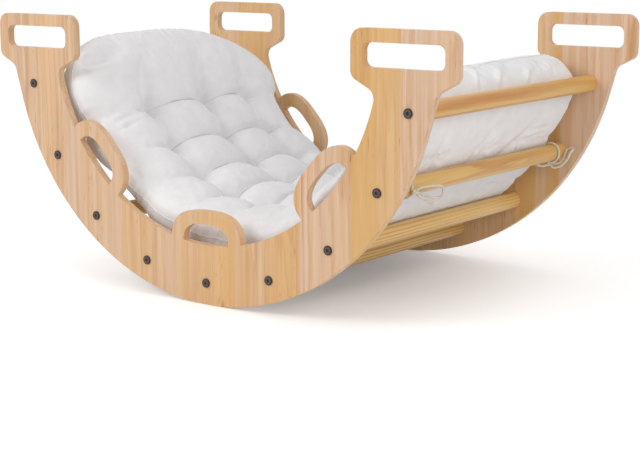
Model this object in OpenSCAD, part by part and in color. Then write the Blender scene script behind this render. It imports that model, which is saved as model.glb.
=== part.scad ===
// Wooden rocker arch: two curved side panels with hand grips, joined by round rungs that are
// bolted on from outside, and a tufted seat cushion tied to the rungs.
// X is the long way of the arch, Y is its width with the front panel at -Y, and Z is up.
// The origin is on the floor, under the middle of the arch.

/* [Side panels] */
// Radius of the rocking edge
rocker_r = 455.5; // [445:0.5:465]
// Width of the band between the rocking edge and the inner edge
band_w = 102.5; // [96:0.5:108]
// Thickness of a side panel
panel_t = 14; // [12:0.5:18]
// Width over the outer faces of the two panels
frame_w = 590; // [560:5:620]

/* [Grip heads] */
// Rise of the flat top of a grip head over the centre of the arcs
head_rise = 18; // [12:0.5:24]
// How far a head's inner side stands in from the widest point of the inner edge
head_inset = 55; // [49:1:63]
// Length of a grip head
head_w = 192; // [184:1:200]
// Height of a head's straight sides, measured down from its top to the corners below
head_h = 74; // [70:1:80]
// Slope of the shoulders under a head, as a rise for each millimetre along
shoulder_slope = 0.5; // [0.4:0.05:0.6]
// Radius of the upper corners of a head
head_corner_r = 21; // [14:1:26]
// Radius of the lower corners of a head
head_under_r = 16; // [10:1:20]
// Radius where a shoulder runs into the arc
neck_r = 18; // [12:1:22]
// Angle from the lowest point of the arc to where the arc gives way to the neck
neck_angle = 74; // [72:0.5:76]
// Length of the grip slot
slot_w = 147.5; // [130:0.5:155]
// Height of the grip slot
slot_h = 38; // [30:0.5:42]
// Distance from a head's top down to its slot
slot_drop = 21; // [18:0.5:26]
// Corner radius of the grip slot
slot_r = 12; // [6:0.5:16]

/* [Side handles] */
// Angle between the middle handle and each outer handle
handle_angle = 47.5; // [45:0.5:50]
// Half of a handle's length along the inner edge
handle_half_w = 76; // [70:1:82]
// Rise of a handle above the inner edge
handle_rise = 57.5; // [52:0.5:64]
// Half of the length of the opening in a handle
loop_half_w = 50; // [44:1:54]
// Rise of the opening in a handle above the inner edge
loop_rise = 34.5; // [30:0.5:38]
// Exponent of the handle's outline: 2 is an ellipse, and higher is squarer
handle_power = 2.8; // [2.2:0.1:3.4]

/* [Rungs] */
// Number of rungs
rung_count = 9; // [7:2:9]
// Diameter of a rung
rung_d = 30; // [26:1:32]
// Distance from the rocking edge to the middle of a rung
rung_inset = 37.5; // [32:0.5:44]
// Angle between neighbouring rungs
rung_angle = 18.85; // [17.5:0.05:19]
// Chamfer at the ends of a rung
rung_chamfer = 2; // [1:0.5:3]

/* [Bolts] */
// Diameter of a bolt's shank
bolt_d = 6; // [5:0.5:7]
// Diameter of a bolt's flat head
bolt_head_d = 15.5; // [13:0.5:18]
// Thickness of a bolt's head
bolt_head_h = 2.6; // [2:0.1:3.5]
// Length of thread that reaches into the rung
bolt_reach = 18; // [14:1:22]
// Width across the flats of the hexagon socket
socket_af = 4; // [3:0.5:5]
// Depth of the hexagon socket
socket_h = 1.9; // [1.2:0.1:1.9]
// Outside diameter of the threaded insert in the end of a rung
insert_d = 10; // [9:0.5:12]
// Length of the threaded insert
insert_h = 20; // [16:1:24]
// Extra depth of the rung's hole past the insert
insert_spare = 4; // [2:0.5:8]

/* [Cushion] */
// Angle from the lowest point of the arc to the middle of the cushion's left end
left_end_angle = 87; // [85:0.25:88]
// Angle from the lowest point of the arc to the middle of the cushion's right end
right_end_angle = 80.75; // [79:0.25:84]
// How far the left end leans towards the front panel, as an angle at its sides
left_lean_angle = 4; // [0:0.25:5]
// How far the right end leans towards the back panel, as an angle at its sides
right_lean_angle = 1.25; // [0:0.25:2]
// How far the left end bows back from its middle to its corners, as an angle
left_bow_angle = 5.5; // [2:0.25:6]
// How far the right end bows back from its middle to its corners, as an angle
right_bow_angle = 0.5; // [0:0.25:2]
// Gap between the tufted part of the cushion and each side panel
cushion_side_gap = 16; // [12:1:24]
// How much further than the tufted part the ends reach to each side
end_widening = 11; // [4:0.5:11]
// Height from the edge seam to the crown of the seat face
seat_crown = 57; // [48:1:60]
// Height from the edge seam to the back face, which lies on the rungs
back_crown = 58; // [50:1:62]
// Radius of the cushion's left corner at the front
left_front_corner_r = 100; // [80:1:105]
// Radius of the cushion's left corner at the back
left_back_corner_r = 90; // [75:1:100]
// Radius of the cushion's right corner at the front
right_front_corner_r = 85; // [60:1:95]
// Radius of the cushion's right corner at the back
right_back_corner_r = 45; // [40:1:70]
// How far the sides are drawn in at each row of tufts
side_sink = 5; // [2:0.5:8]
// Thickness of the edge seam
seam_t = 5; // [3:0.5:8]
// Angle between rows of tufts
tuft_row_angle = 15; // [13.5:0.25:15]
// Distance between columns of tufts
tuft_column_y = 142; // [130:1:150]
// How far the middle column of tufts lies towards the back panel
middle_column_shift = 20; // [0:1:24]
// How far the front column of tufts lies towards the back panel
front_column_shift = 13; // [0:1:18]
// How far a tuft is drawn in from the crown of the seat face
tuft_sink = 30; // [20:1:34]
// How far the creases between tufts are drawn in
crease_sink = 13; // [8:1:16]
// How far a tuft is drawn in on the back face
back_tuft_sink = 16; // [8:1:20]

/* [Ties] */
// Diameter of the cotton cord
cord_d = 4.5; // [4:0.25:4.5]
// Diameter of a knot
knot_d = 12; // [10:0.5:12]
// Distance from the front panel's inner face to the ties next to it
front_tie_inset = 58; // [55:1:64]
// Distance from the back panel's inner face to the ties next to it
back_tie_inset = 33; // [31:1:36]
// Turn of a front tie's knot about the rung, from straight out towards the floor
front_knot_angle = -20; // [-24:1:-8]
// Turn of a back tie's knot about the rung, from straight out towards the floor
back_knot_angle = 65; // [58:1:67]

/* [Clearances] */
// Gap between soft pieces and what they lie on
seat_gap = 0.3; // [0.2:0.05:0.5]
// Radial clearance of a bolt in its panel hole
bolt_clearance = 0.3; // [0.2:0.05:0.5]
// Radial clearance between screwed pieces
thread_clearance = 0.05; // [0.03:0.01:0.1]

/* [Hidden] */
$fn = 96;
arc_steps = 96;
centre_z = rocker_r;
inner_r = rocker_r - band_w;
rung_circle_r = rocker_r - rung_inset;
cut = 1;
panel_in_y = frame_w / 2 - panel_t;
head_top_z = centre_z + head_rise;
head_in_x = inner_r - head_inset;
head_mid_x = head_in_x + head_w / 2;
rung_len = 2 * panel_in_y;
side_rungs = (rung_count - 1) / 2;
tied_rung_angle = (side_rungs - 1) * rung_angle;

pine = [0.87, 0.72, 0.52];
rung_pine = [0.86, 0.70, 0.42];
black_steel = [0.10, 0.10, 0.11];
zinc = [0.72, 0.72, 0.70];
cotton = [0.93, 0.93, 0.92];
tie_cotton = [0.92, 0.89, 0.82];

rung_names = [for (i = [1 : rung_count]) str("rung_", i)];
tie_names = ["front_left", "front_right", "back_left", "back_right"];

// A point at radius r, turned a degrees from the lowest point of the arc.
function arc_point(r, a) = [r * sin(a), centre_z - r * cos(a)];

// ---- outlines ----

// Direction from p to q.
function aim(p, q) = (q - p) / norm(q - p);

// Points of the arc that rounds the corner b between a and c with radius r.
function corner_arc(a, b, c, r, n = 10) =
    let (
        u = aim(b, a),
        v = aim(b, c),
        half = acos(u * v) / 2,
        mid = b + aim([0, 0], u + v) * r / sin(half),
        start = b + u * r / tan(half) - mid,
        side = sign(u[0] * v[1] - u[1] * v[0]),
        sweep = 180 - 2 * half
    )
    [for (k = [0 : n])
        let (t = -side * sweep * k / n)
        mid + [start[0] * cos(t) - start[1] * sin(t), start[0] * sin(t) + start[1] * cos(t)]];

// An outline through corners of the form [point, radius].
function rounded(corners) =
    let (n = len(corners))
    [for (i = [0 : n - 1])
        let (a = corners[(i + n - 1) % n][0], b = corners[i], c = corners[(i + 1) % n][0])
        each (b[1] > 0 ? corner_arc(a, b[0], c, b[1]) : [b[0]])];

// Where the line that leaves the arc of radius r at the neck meets the shoulder from x = from.
function neck_corner(r, from) =
    let (
        p = arc_point(r, neck_angle),
        d = [cos(neck_angle), sin(neck_angle)],
        way = from > p[0] ? 1 : -1,
        level = head_top_z - head_h - way * shoulder_slope * from,
        t = (level + way * shoulder_slope * p[0] - p[1]) / (d[1] - way * shoulder_slope * d[0])
    )
    p + d * t;

// Corners of the right grip head, from its outer neck round the top to its inner neck.
function head_corners() =
    let (in_x = head_in_x, out_x = head_in_x + head_w, low_z = head_top_z - head_h)
    [
        [neck_corner(rocker_r, out_x), neck_r],
        [[out_x, low_z], head_under_r],
        [[out_x, head_top_z], head_corner_r],
        [[in_x, head_top_z], head_corner_r],
        [[in_x, low_z], head_under_r],
        [neck_corner(inner_r, in_x), neck_r]
    ];

// Points along the arc of radius r, from angle -neck_angle to neck_angle.
function arc_corners(r) =
    [for (k = [0 : arc_steps]) [arc_point(r, neck_angle * (2 * k / arc_steps - 1)), 0]];

function reversed(list) = [for (k = [len(list) - 1 : -1 : 0]) list[k]];

function mirrored(corners) = [for (c = reversed(corners)) [[-c[0][0], c[0][1]], c[1]]];

// The whole panel without its handles: the rocking edge, a head, the inner edge and a head.
module band_outline() {
    polygon(rounded(concat(
        arc_corners(rocker_r),
        head_corners(),
        reversed(arc_corners(inner_r)),
        mirrored(head_corners())
    )));
}

module grip_slot() {
    x = slot_w / 2 - slot_r;
    z = slot_h / 2 - slot_r;
    translate([head_mid_x, head_top_z - slot_drop - slot_h / 2]) union() {
        square([slot_w, 2 * z], center = true);
        square([2 * x, slot_h], center = true);
        for (sx = [-x, x], sz = [-z, z]) translate([sx, sz]) circle(slot_r);
    }
}

// Upper half of a rounded dome on the x axis, with a foot that reaches down into the band.
function dome(half_w, rise, foot, steps = 32) = concat(
    [[half_w, -foot]],
    [for (k = [0 : steps])
        let (t = 180 * k / steps, c = cos(t), s = sin(t), e = 2 / handle_power)
        [sign(c) * half_w * pow(abs(c), e), rise * pow(abs(s), e)]],
    [[-half_w, -foot]]
);

// Places its children at angle a with the x axis along the inner edge and y towards the centre.
module on_inner_edge(a) {
    translate([0, centre_z]) rotate(a) translate([0, -inner_r]) children();
}

module handle_outline(a) {
    foot = (rocker_r - inner_r) / 2;
    on_inner_edge(a) polygon(dome(handle_half_w, handle_rise, foot));
}

// The opening in a handle. Its lower side is the panel's own inner edge.
module handle_loop(a) {
    intersection() {
        on_inner_edge(a) polygon(dome(loop_half_w, loop_rise, loop_rise));
        polygon([for (c = arc_corners(inner_r)) c[0]]);
    }
}

module bolt_holes() {
    for (i = [-side_rungs : side_rungs])
        translate(arc_point(rung_circle_r, i * rung_angle)) circle(bolt_d / 2 + bolt_clearance);
}

// ---- panels ----

module panel_plate() {
    rotate([90, 0, 0]) linear_extrude(panel_t) difference() {
        union() {
            band_outline();
            for (a = [-handle_angle, 0, handle_angle]) handle_outline(a);
        }
        grip_slot();
        mirror([1, 0]) grip_slot();
        for (a = [-handle_angle, 0, handle_angle]) handle_loop(a);
        bolt_holes();
    }
}

module front_panel() {
    color(pine) translate([0, -panel_in_y, 0]) panel_plate();
}

module back_panel() {
    color(pine) translate([0, frame_w / 2, 0]) panel_plate();
}

// ---- rungs and their fasteners ----

// Places its children at rung position i, counted from the lowest one.
module at_rung(i) {
    p = arc_point(rung_circle_r, i * rung_angle);
    translate([p[0], 0, p[1]]) children();
}

// Turns its children, made along +Z, to stand on a panel's outer face and point outwards.
module facing_out(front) {
    turn = front ? 90 : -90;
    translate([0, front ? -frame_w / 2 : frame_w / 2, 0]) rotate([turn, 0, 0]) children();
}

module rung(number) {
    r = rung_d / 2;
    c = rung_chamfer;
    h = rung_len / 2;
    hole_h = insert_h + insert_spare;
    color(rung_pine) at_rung(number - 1 - side_rungs) rotate([90, 0, 0]) difference() {
        rotate_extrude() polygon([[0, -h], [r - c, -h], [r, c - h], [r, h - c], [r - c, h], [0, h]]);
        for (end = [-1, 1])
            translate([0, 0, end * (h + (cut - hole_h) / 2)])
                cylinder(d = insert_d, h = hole_h + cut, center = true);
    }
}

// Threaded sleeve, flush with the rung's end.
module threaded_insert() {
    translate([0, 0, -panel_t - insert_h]) difference() {
        cylinder(r = insert_d / 2 - thread_clearance, h = insert_h);
        translate([0, 0, -cut])
            cylinder(r = bolt_d / 2 + thread_clearance, h = insert_h + 2 * cut);
    }
}

// Flat-headed bolt with a hexagon socket. Its head is bevelled and lies on the panel.
module bolt() {
    r = bolt_head_d / 2;
    bevel = bolt_head_h / 2;
    shank = panel_t + bolt_reach;
    difference() {
        rotate_extrude() polygon([
            [0, -shank],
            [bolt_d / 2 - thread_clearance, -shank],
            [bolt_d / 2 - thread_clearance, 0],
            [r, 0],
            [r, bolt_head_h - bevel],
            [r - bevel, bolt_head_h],
            [0, bolt_head_h]
        ]);
        translate([0, 0, bolt_head_h - socket_h])
            cylinder(d = socket_af / cos(30), h = socket_h + cut, $fn = 6);
    }
}

module bolts(front) {
    color(black_steel)
        for (i = [-side_rungs : side_rungs]) at_rung(i) facing_out(front) bolt();
}

module inserts(front) {
    color(zinc)
        for (i = [-side_rungs : side_rungs]) at_rung(i) facing_out(front) threaded_insert();
}

// ---- cushion ----

half_w = panel_in_y - cushion_side_gap;
back_r = rung_circle_r - rung_d / 2 - seat_gap;
seam_r = back_r - back_crown;
tuft_rows = 4;
row_steps = 4;
column_steps = 3;
end_steps = 5;
side_steps = 5;
last_i = tuft_rows * row_steps + end_steps;
last_j = column_steps + side_steps;
tufted_angle = tuft_rows * tuft_row_angle;
widening_angle = 12;
back_swell = 12;
row_crease_y = 4 * tuft_column_y;
// Angles between which the middle's shape changes into an end's.
end_from = 34;
end_to = 62;
full_from = 15;
full_to = 50;
// Places where a side is drawn in: the side (1 is the back), its angle, its reach as an angle and
// how far.
waists = [[1, -52, 9, 13], [1, -82, 14, 7], [-1, 84, 20, 14]];
// Where the front edge of the back face is slim: the angle and its reach.
slim_angle = -37;
slim_reach = 10;

// The left or the right value, for the end of the cushion that a lies towards.
function at_end(a, left, right) = a < 0 ? left : right;
function end_angle(a) = at_end(a, left_end_angle, right_end_angle);
function at_side(t, front, back) = front + (back - front) * (t + 1) / 2;
function corner_r(a, t) = at_end(
    a,
    at_side(t, left_front_corner_r, left_back_corner_r),
    at_side(t, right_front_corner_r, right_back_corner_r)
);
function corner_angle(a, t) = corner_r(a, t) / seam_r * 180 / PI;

// Angle of grid line i along the cushion. Lines crowd together towards the ends.
function line_angle(i) =
    let (past = abs(i) - tuft_rows * row_steps)
    past <= 0 ? i * tuft_row_angle / row_steps
    : sign(i) * (tufted_angle + (end_angle(i) - tufted_angle) * sin(90 * past / end_steps));

// Distance of grid line j from the middle, before the corners narrow it.
function line_y(j) =
    let (past = abs(j) - column_steps)
    past <= 0 ? j * tuft_column_y / column_steps
    : sign(j) * (tuft_column_y + (half_w - tuft_column_y) * sin(90 * past / side_steps));

// How far into an end's rounded corners angle a lies, from 0 to 1. t runs from -1 at the front
// side to 1 at the back side.
function into_end(a, t) = max(0, min(1, (abs(a) - end_angle(a)) / corner_angle(a, t) + 1));

// How far past the tufted part angle a lies, from 0 to 1 over a given angle.
function past_tufts(a, over) = max(0, min(1, (abs(a) - tufted_angle) / over));

// 1 up to first, falling smoothly to 0 at last.
function faded(a, first, last) =
    let (share = max(0, min(1, (a - first) / (last - first)))) 1 - share * share * (3 - 2 * share);

// 0 in the middle and 1 towards one end, which is -1 for the left and 1 for the right.
function near_end(a, end) = 1 - faded(a * end, end_from, end_to);

// 1 at angle at, falling off over an angle.
function bell(a, at, reach) = exp(-pow((a - at) / reach, 2));

// How far the waists draw the side in.
function waist(a, t) =
    [for (w = waists) w[0] * t > 0 ? w[3] * abs(t) * bell(a, w[1], w[2]) : 0] * [for (w = waists) 1];

// The cushion's half width at angle a, drawn in at each row of tufts and at the waists.
function width_at(a, t) =
    half_w + end_widening * sin(90 * past_tufts(a, widening_angle))
        - corner_r(a, t) * (1 - sqrt(1 - pow(into_end(a, t), 2)))
        - side_sink * drawn(a / tuft_row_angle, tuft_rows) - waist(a, t);

// Angle a moved back by the lean and the bow of the end.
function bowed(a, t) =
    let (
        lean = at_end(a, left_lean_angle, -right_lean_angle),
        bow = at_end(a, left_bow_angle, right_bow_angle)
    )
    a - sign(a) * (lean * t + bow * t * t) * past_tufts(a, end_angle(a) - tufted_angle);

// The power and the root that shape the seat's fall towards a side.
function seat_side(a, t) =
    let (slim = near_end(a, t > 0 ? -1 : 1)) [4 - 1.3 * slim, 0.5 + 0.1 * slim];

// The same for the back face.
function back_side(a, t) =
    let (
        full = 1 - faded(a, full_from, full_to),
        right = near_end(a, 1),
        slim = bell(a, slim_angle, slim_reach)
    )
    t > 0 ? [7 + 15 * full, 0.4 - 0.12 * full]
    : [8 - 5.2 * slim - 3.6 * right, 0.38 + 0.24 * slim + 0.14 * right];

// Swell of the cushion over its outline: 0 at the edge seam and 1 well inside.
function swell(a, t, side) =
    pow(max(0, 1 - pow(abs(t), side[0])), side[1]) * sqrt(1 - pow(into_end(a, t), 2));

// How far the columns of tufts move the cover towards the back, across from the middle.
function column_shift(across) =
    let (
        from_front = across + tuft_column_y,
        reach = from_front > 0 ? tuft_column_y : half_w - tuft_column_y
    )
    middle_column_shift * max(0, 1 - abs(across) / tuft_column_y)
        + front_column_shift * max(0, 1 - abs(from_front) / reach);

// Distance from the middle of the line that lies across at angle a.
function placed_y(a, across) =
    let (t = across / half_w) t * width_at(a, t) + column_shift(across);

// 1 at a tuft line and 0 half way to the next one.
function drawn(p, last) = abs(p) > last + 0.5 ? 0 : pow(cos(180 * p), 2);

// How far the face is drawn in at angle a and distance y, with sinks for creases and tufts.
function sink(a, y, crease, tuft) =
    let (row = drawn(a / tuft_row_angle, tuft_rows), column = drawn(y / tuft_column_y, 1))
    crease * max(pow(row, 2) * drawn(y / row_crease_y, 1), pow(column, 2))
        + (tuft - crease) * row * column;

function seat_height(a, y, t) =
    swell(a, t, seat_side(a, t)) * (seat_crown - sink(a, y, crease_sink, tuft_sink));

function back_height(a, y, t) =
    min(back_crown, swell(a, t, back_side(a, t)) * (back_crown + back_swell - sink(a, y, 0, back_tuft_sink)));

// Corner of the cushion's mesh: side is -1 on the seat face and 1 on the back face.
function cushion_point(i, j, side) =
    let (
        a = line_angle(i),
        t = line_y(j) / half_w,
        y = placed_y(a, line_y(j)),
        rise = side < 0 ? seat_height(a, line_y(j), t) : back_height(a, line_y(j), t),
        p = arc_point(seam_r + side * max(rise, seam_t / 2), bowed(a, t))
    )
    [p[0], y, p[1]];

function cushion_points() = [
    for (side = [-1, 1], i = [-last_i : last_i], j = [-last_j : last_j]) cushion_point(i, j, side)
];

function cushion_faces() =
    let (
        across = 2 * last_j + 1,
        along = 2 * last_i + 1,
        back = across * along,
        seat_faces = [for (i = [0 : along - 2], j = [0 : across - 2])
            let (p = i * across + j)
            each [[p, p + 1, p + across], [p + 1, p + across + 1, p + across]]],
        back_faces = [for (f = seat_faces) [f[2] + back, f[1] + back, f[0] + back]],
        rim = concat(
            [for (j = [0 : across - 2]) j],
            [for (i = [0 : along - 2]) i * across + across - 1],
            [for (j = [across - 1 : -1 : 1]) (along - 1) * across + j],
            [for (i = [along - 1 : -1 : 1]) i * across]
        ),
        n = len(rim),
        rim_faces = [for (k = [0 : n - 1])
            let (p = rim[k], q = rim[(k + 1) % n])
            each [[q, p, p + back], [q, p + back, q + back]]]
    )
    concat(seat_faces, back_faces, rim_faces);

module cushion() {
    color(cotton) polyhedron(cushion_points(), cushion_faces());
}

// ---- ties ----

tie_r = rung_d / 2 + seat_gap + cord_d / 2;
knot_at = rung_d / 2 + seat_gap + knot_d / 2;
bow_sides = 8;
tie_sides = 24;

// Routes of the cords of a bow, from the middle of its knot: x away from the arch's middle,
// y towards the back and z up.
front_loop_route = [
    [0.6, 6.1, 1.9], [1.6, 14, 3.2], [2.7, 22, 3.8], [4, 30, 4], [5.3, 38, 3.9], [6.6, 46, 3.5],
    [7.8, 52, 3], [8.8, 57, 2.3], [9.5, 61.7, 1], [10, 65, -2.4], [10.2, 66.3, -7], [10, 65, -11.6],
    [9.4, 61.7, -15], [8.6, 57, -16.3], [7.4, 50, -16.3], [6, 41, -14.6], [4.6, 32, -11.8],
    [3, 23, -8.6], [1.5, 14, -5.6], [0.3, 5.8, -2.9]
];
front_tail_route = [
    [3.2, 2, -5.3], [4.2, 6.5, -8.6], [5, 11, -11.3], [5.7, 15.5, -13.4], [6.4, 20, -15.3],
    [7, 24.5, -17], [7.6, 29, -19], [8.2, 33, -21.3]
];
back_loop_route = [
    [5.3, 0.5, -3.7], [9.8, 0.6, -5.3], [15, 0.9, -5], [21, 1.8, -2.6], [27, 3.6, 2.4],
    [31.8, 6.2, 8.8], [34.6, 9, 15.4], [36, 11.8, 22], [37.7, 15.3, 24.9], [37, 19.3, 27.5],
    [34.1, 22.9, 29], [29.7, 25.1, 29], [25.1, 25.2, 27.5], [21.8, 23.2, 24.6], [21, 20.5, 19],
    [20.1, 17, 12.5], [18.3, 13.5, 6.5], [14.6, 10, 2.2], [9.4, 7.2, 0.8], [4.4, 4.9, 0.6]
];
back_tail_route = [
    [-1.9, -6, -1.4], [-2.6, -10, -2], [-3.2, -14, -2.2], [-3.8, -18, -2], [-4.4, -22, -1.3],
    [-5, -26, -0.3], [-5.5, -30.5, 0.9], [-6, -35, 2.3]
];

function is_front(name) = name[0] == "f";
function is_left(name) = name == "front_left" || name == "back_left";
function tie_y(name) = is_front(name) ? front_tie_inset - panel_in_y : panel_in_y - back_tie_inset;
function knot_turn(name) = is_front(name) ? front_knot_angle : back_knot_angle;

// Places its children at a tie: x along the arch and upwards, -z straight out from its centre.
module at_tie(name) {
    p = arc_point(rung_circle_r, tied_rung_angle);
    mirror([is_left(name) ? 1 : 0, 0, 0])
        translate([p[0], tie_y(name), p[1]]) rotate([0, -tied_rung_angle, 0]) children();
}

// Height of the back face at angle a and distance y, on the facets of the cushion's mesh.
function facet_height(a, y) =
    let (
        lines = [for (j = [-last_j : last_j]) line_y(j)],
        k = [for (k = [0 : 2 * last_j - 1]) if (placed_y(a, lines[k + 1]) >= y) k][0],
        low = placed_y(a, lines[k]),
        high = placed_y(a, lines[k + 1]),
        heights = [for (across = [lines[k], lines[k + 1]]) back_height(a, across, across / half_w)]
    )
    heights[0] + (heights[1] - heights[0]) * (y - low) / (high - low);

// Length of a tie's leg from the rung's middle to the back face of the cushion, on one side.
function leg_len(name, side) =
    let (
        away = side * atan(tie_r / back_r),
        a = (is_left(name) ? -1 : 1) * (tied_rung_angle + away),
        rise = max([for (edge = [-1 : 1]) facet_height(a, tie_y(name) + edge * cord_d / 2)])
    )
    rung_circle_r - (seam_r + rise) * cos(away) - seat_gap;

// The cord round the rung, with both its legs and the knot that they end in.
module tie(name) {
    $fn = tie_sides;
    turn = knot_turn(name);
    color(tie_cotton) at_tie(name) {
        rotate([-90, 0, 0]) rotate_extrude(angle = 180) translate([tie_r, 0]) circle(d = cord_d);
        for (side = [-1, 1])
            translate([side * tie_r, 0, 0])
                cylinder(d = cord_d, h = leg_len(name, side));
        translate([-knot_at * sin(turn), 0, -knot_at * cos(turn)]) sphere(d = knot_d);
    }
}

// Middle of a knot on the right-hand side of the arch.
function knot_point(name) =
    let (p = arc_point(rung_circle_r, tied_rung_angle), a = tied_rung_angle - knot_turn(name))
    [p[0] + knot_at * sin(a), tie_y(name), p[1] - knot_at * cos(a)];

function route_way(route, k) = aim(route[max(k - 1, 0)], route[min(k + 1, len(route) - 1)]);

// Direction square to the route at each point, turned as little as possible from the last one.
function route_sides(route, k = 0, last = [0, 0, 0]) =
    k == len(route) ? []
    : let (
        way = route_way(route, k),
        from = k > 0 ? last : cross(way, [0.3, 0.2, 1]),
        side = from - way * (from * way),
        unit = side / norm(side)
    )
    concat([unit], route_sides(route, k + 1, unit));

// A cord swept along the route's own points.
module cord(route) {
    sides = route_sides(route);
    n = bow_sides;
    last = len(route) - 1;
    points = [for (k = [0 : last], s = [0 : n - 1])
        let (u = sides[k], v = cross(route_way(route, k), u), t = 360 * s / n)
        route[k] + (u * cos(t) + v * sin(t)) * cord_d / 2];
    faces = concat(
        [[for (s = [0 : n - 1]) s]],
        [[for (s = [n - 1 : -1 : 0]) last * n + s]],
        [for (k = [0 : last - 1], s = [0 : n - 1])
            let (p = k * n + s, q = k * n + (s + 1) % n)
            each [[p, p + n, q], [q, p + n, q + n]]]
    );
    polyhedron(points, faces);
}

// The bow's hanging loop and its loose end, which leave the knot.
module bow(name) {
    color(tie_cotton) mirror([is_left(name) ? 1 : 0, 0, 0]) translate(knot_point(name)) {
        cord(is_front(name) ? front_loop_route : back_loop_route);
        cord(is_front(name) ? front_tail_route : back_tail_route);
    }
}

front_panel();
back_panel();
for (i = [1 : rung_count]) rung(i);
bolts(true);  // front_bolts
bolts(false);  // back_bolts
inserts(true);  // front_inserts
inserts(false);  // back_inserts
cushion();
for (n = tie_names) tie(n);
for (n = tie_names) bow(n);
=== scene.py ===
import math

import bmesh
import bpy
from mathutils import Matrix, Quaternion, Vector


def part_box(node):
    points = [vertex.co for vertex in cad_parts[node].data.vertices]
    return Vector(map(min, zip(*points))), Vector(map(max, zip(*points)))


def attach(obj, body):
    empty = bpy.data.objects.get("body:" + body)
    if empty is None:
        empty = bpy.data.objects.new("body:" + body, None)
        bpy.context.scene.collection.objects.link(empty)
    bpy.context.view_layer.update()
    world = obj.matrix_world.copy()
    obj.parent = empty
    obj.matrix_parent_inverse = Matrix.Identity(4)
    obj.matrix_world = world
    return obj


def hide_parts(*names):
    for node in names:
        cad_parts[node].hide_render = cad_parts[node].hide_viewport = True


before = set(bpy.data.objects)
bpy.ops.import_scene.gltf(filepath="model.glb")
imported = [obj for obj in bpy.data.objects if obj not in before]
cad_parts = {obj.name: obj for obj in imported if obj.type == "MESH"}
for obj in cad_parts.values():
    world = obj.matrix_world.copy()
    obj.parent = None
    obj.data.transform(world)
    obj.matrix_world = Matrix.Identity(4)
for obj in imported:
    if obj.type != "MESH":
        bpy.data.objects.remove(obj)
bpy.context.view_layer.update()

# ---- sizes of the arch, in metres and degrees ----

CENTRE_Z = 0.4555
RUNG_CIRCLE_R = 0.418
RUNG_COUNT = 9
RUNG_STEP = 18.85
RUNG_ANGLES = [(number - (RUNG_COUNT - 1) / 2) * RUNG_STEP for number in range(RUNG_COUNT)]
RUNG_R = 0.015
TIED_RUNG_ANGLE = 3 * RUNG_STEP
FRAME_W = 0.590
PANEL_T = 0.014
PANEL_IN_Y = FRAME_W / 2 - PANEL_T
SEAT_GAP = 0.0003

EDGE_ROUND = 0.0024
RUNG_END_ROUND = 0.002
INSERT_R = 0.005
INSERT_HOLE = 0.024
RUNG_SIDES = 72

# Each end of the cushion: the angle of its middle, how far it leans towards the front, how far it
# bows at its front side and at its back side, and the radii of its front and back corners.
LEFT_END = (86.3, 1.75, 2.2, 8.8, 0.105, 0.095)
RIGHT_END = (80.3, -0.9, -0.3, 0.1, 0.085, 0.052)
# Where a side is drawn in: the side (1 is the back), the angle, the reach in degrees and how far.
WAISTS = [(1, -51.0, 9.0, 0.018), (1, -82.0, 14.0, 0.007), (-1, 84.0, 20.0, 0.014)]
# Where the underside's front edge is slim: the angle and the reach in degrees.
SLIM_ANGLE = -38.0
SLIM_REACH = 12.5
HALF_W = 0.265
END_WIDENING = 0.011
WIDENING_ANGLE = 12.0
BACK_R = RUNG_CIRCLE_R - RUNG_R - SEAT_GAP
SEAM_R = BACK_R - 0.058
SEAT_CROWN = 0.056
BACK_CROWN = 0.0575
SIDE_SINK = 0.005
TUFT_ROWS = 4
TUFT_STEP = 15.0
TUFTED_ANGLE = TUFT_ROWS * TUFT_STEP
TUFT_COLUMN_Y = 0.142
MIDDLE_COLUMN_SHIFT = 0.020
FRONT_COLUMN_SHIFT = 0.013
ROW_ARCH = 1.1
ROW_CREASE = 0.023
COLUMN_CREASE = 0.025
PINCH = 0.026
PINCH_WIDTH = 0.021
BACK_TUFT_SINK = 0.007
BACK_SWELL = 0.006
# Where the front side hangs down over its rungs: the angle, the reach in degrees and how far.
FRONT_DROP = (24.0, 22.0, 0.012)
# Angles over which the tufted middle's shape changes into an end's, and the back side fills out.
END_CHANGE = (34, 62)
FULL_CHANGE = (15, 50)
# Angles over which the rows stop drawing the sides in, and the columns' creases end and let go.
SIDE_SINK_END = (56, 66)
CREASE_END = (66, 84)
HOLD_END = (66, 82)
# Distances from the middle over which the rows' creases fade towards the sides.
ROW_FADE = (0.15, 0.26)
# How far the outermost creases reach outwards, in steps from one row or column to the next.
ROW_REACH = 0.9
COLUMN_REACH = 0.6
BACK_CREASE = 0.006
BACK_PINCH_WIDTH = 0.03
PINCH_POWER = 1.4
# Least distance of the cushion from a panel.
PANEL_GAP = 0.002

CORD_D = 0.0045
KNOT_D = 0.012
FRONT_TIE_Y = -PANEL_IN_Y + 0.058
BACK_TIE_Y = PANEL_IN_Y - 0.033
FRONT_KNOT_ANGLE = -20
BACK_KNOT_ANGLE = 65


def arc_point(radius, angle, y):
    """A point at a radius and angle about the arch's axis, at y."""
    turn = math.radians(angle)
    return Vector((radius * math.sin(turn), y, CENTRE_Z - radius * math.cos(turn)))


RUNG_MIDDLES = [arc_point(RUNG_CIRCLE_R, angle, 0) for angle in RUNG_ANGLES]


def linked(name, data):
    """A new object in the scene."""
    made = bpy.data.objects.new(name, data)
    bpy.context.scene.collection.objects.link(made)
    return made


def mesh_from(name, bm):
    """A mesh from a bmesh, which is used up."""
    mesh = bpy.data.meshes.new(name)
    bm.to_mesh(mesh)
    bm.free()
    return mesh


def turn_about(bm, angle, axis):
    """Turns all of a bmesh about an axis through the origin."""
    bmesh.ops.rotate(bm, verts=bm.verts, cent=(0, 0, 0), matrix=Matrix.Rotation(angle, 3, axis))


def evaluated(piece):
    return piece.evaluated_get(bpy.context.evaluated_depsgraph_get())


# ---- camera, light and floor ----

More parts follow.
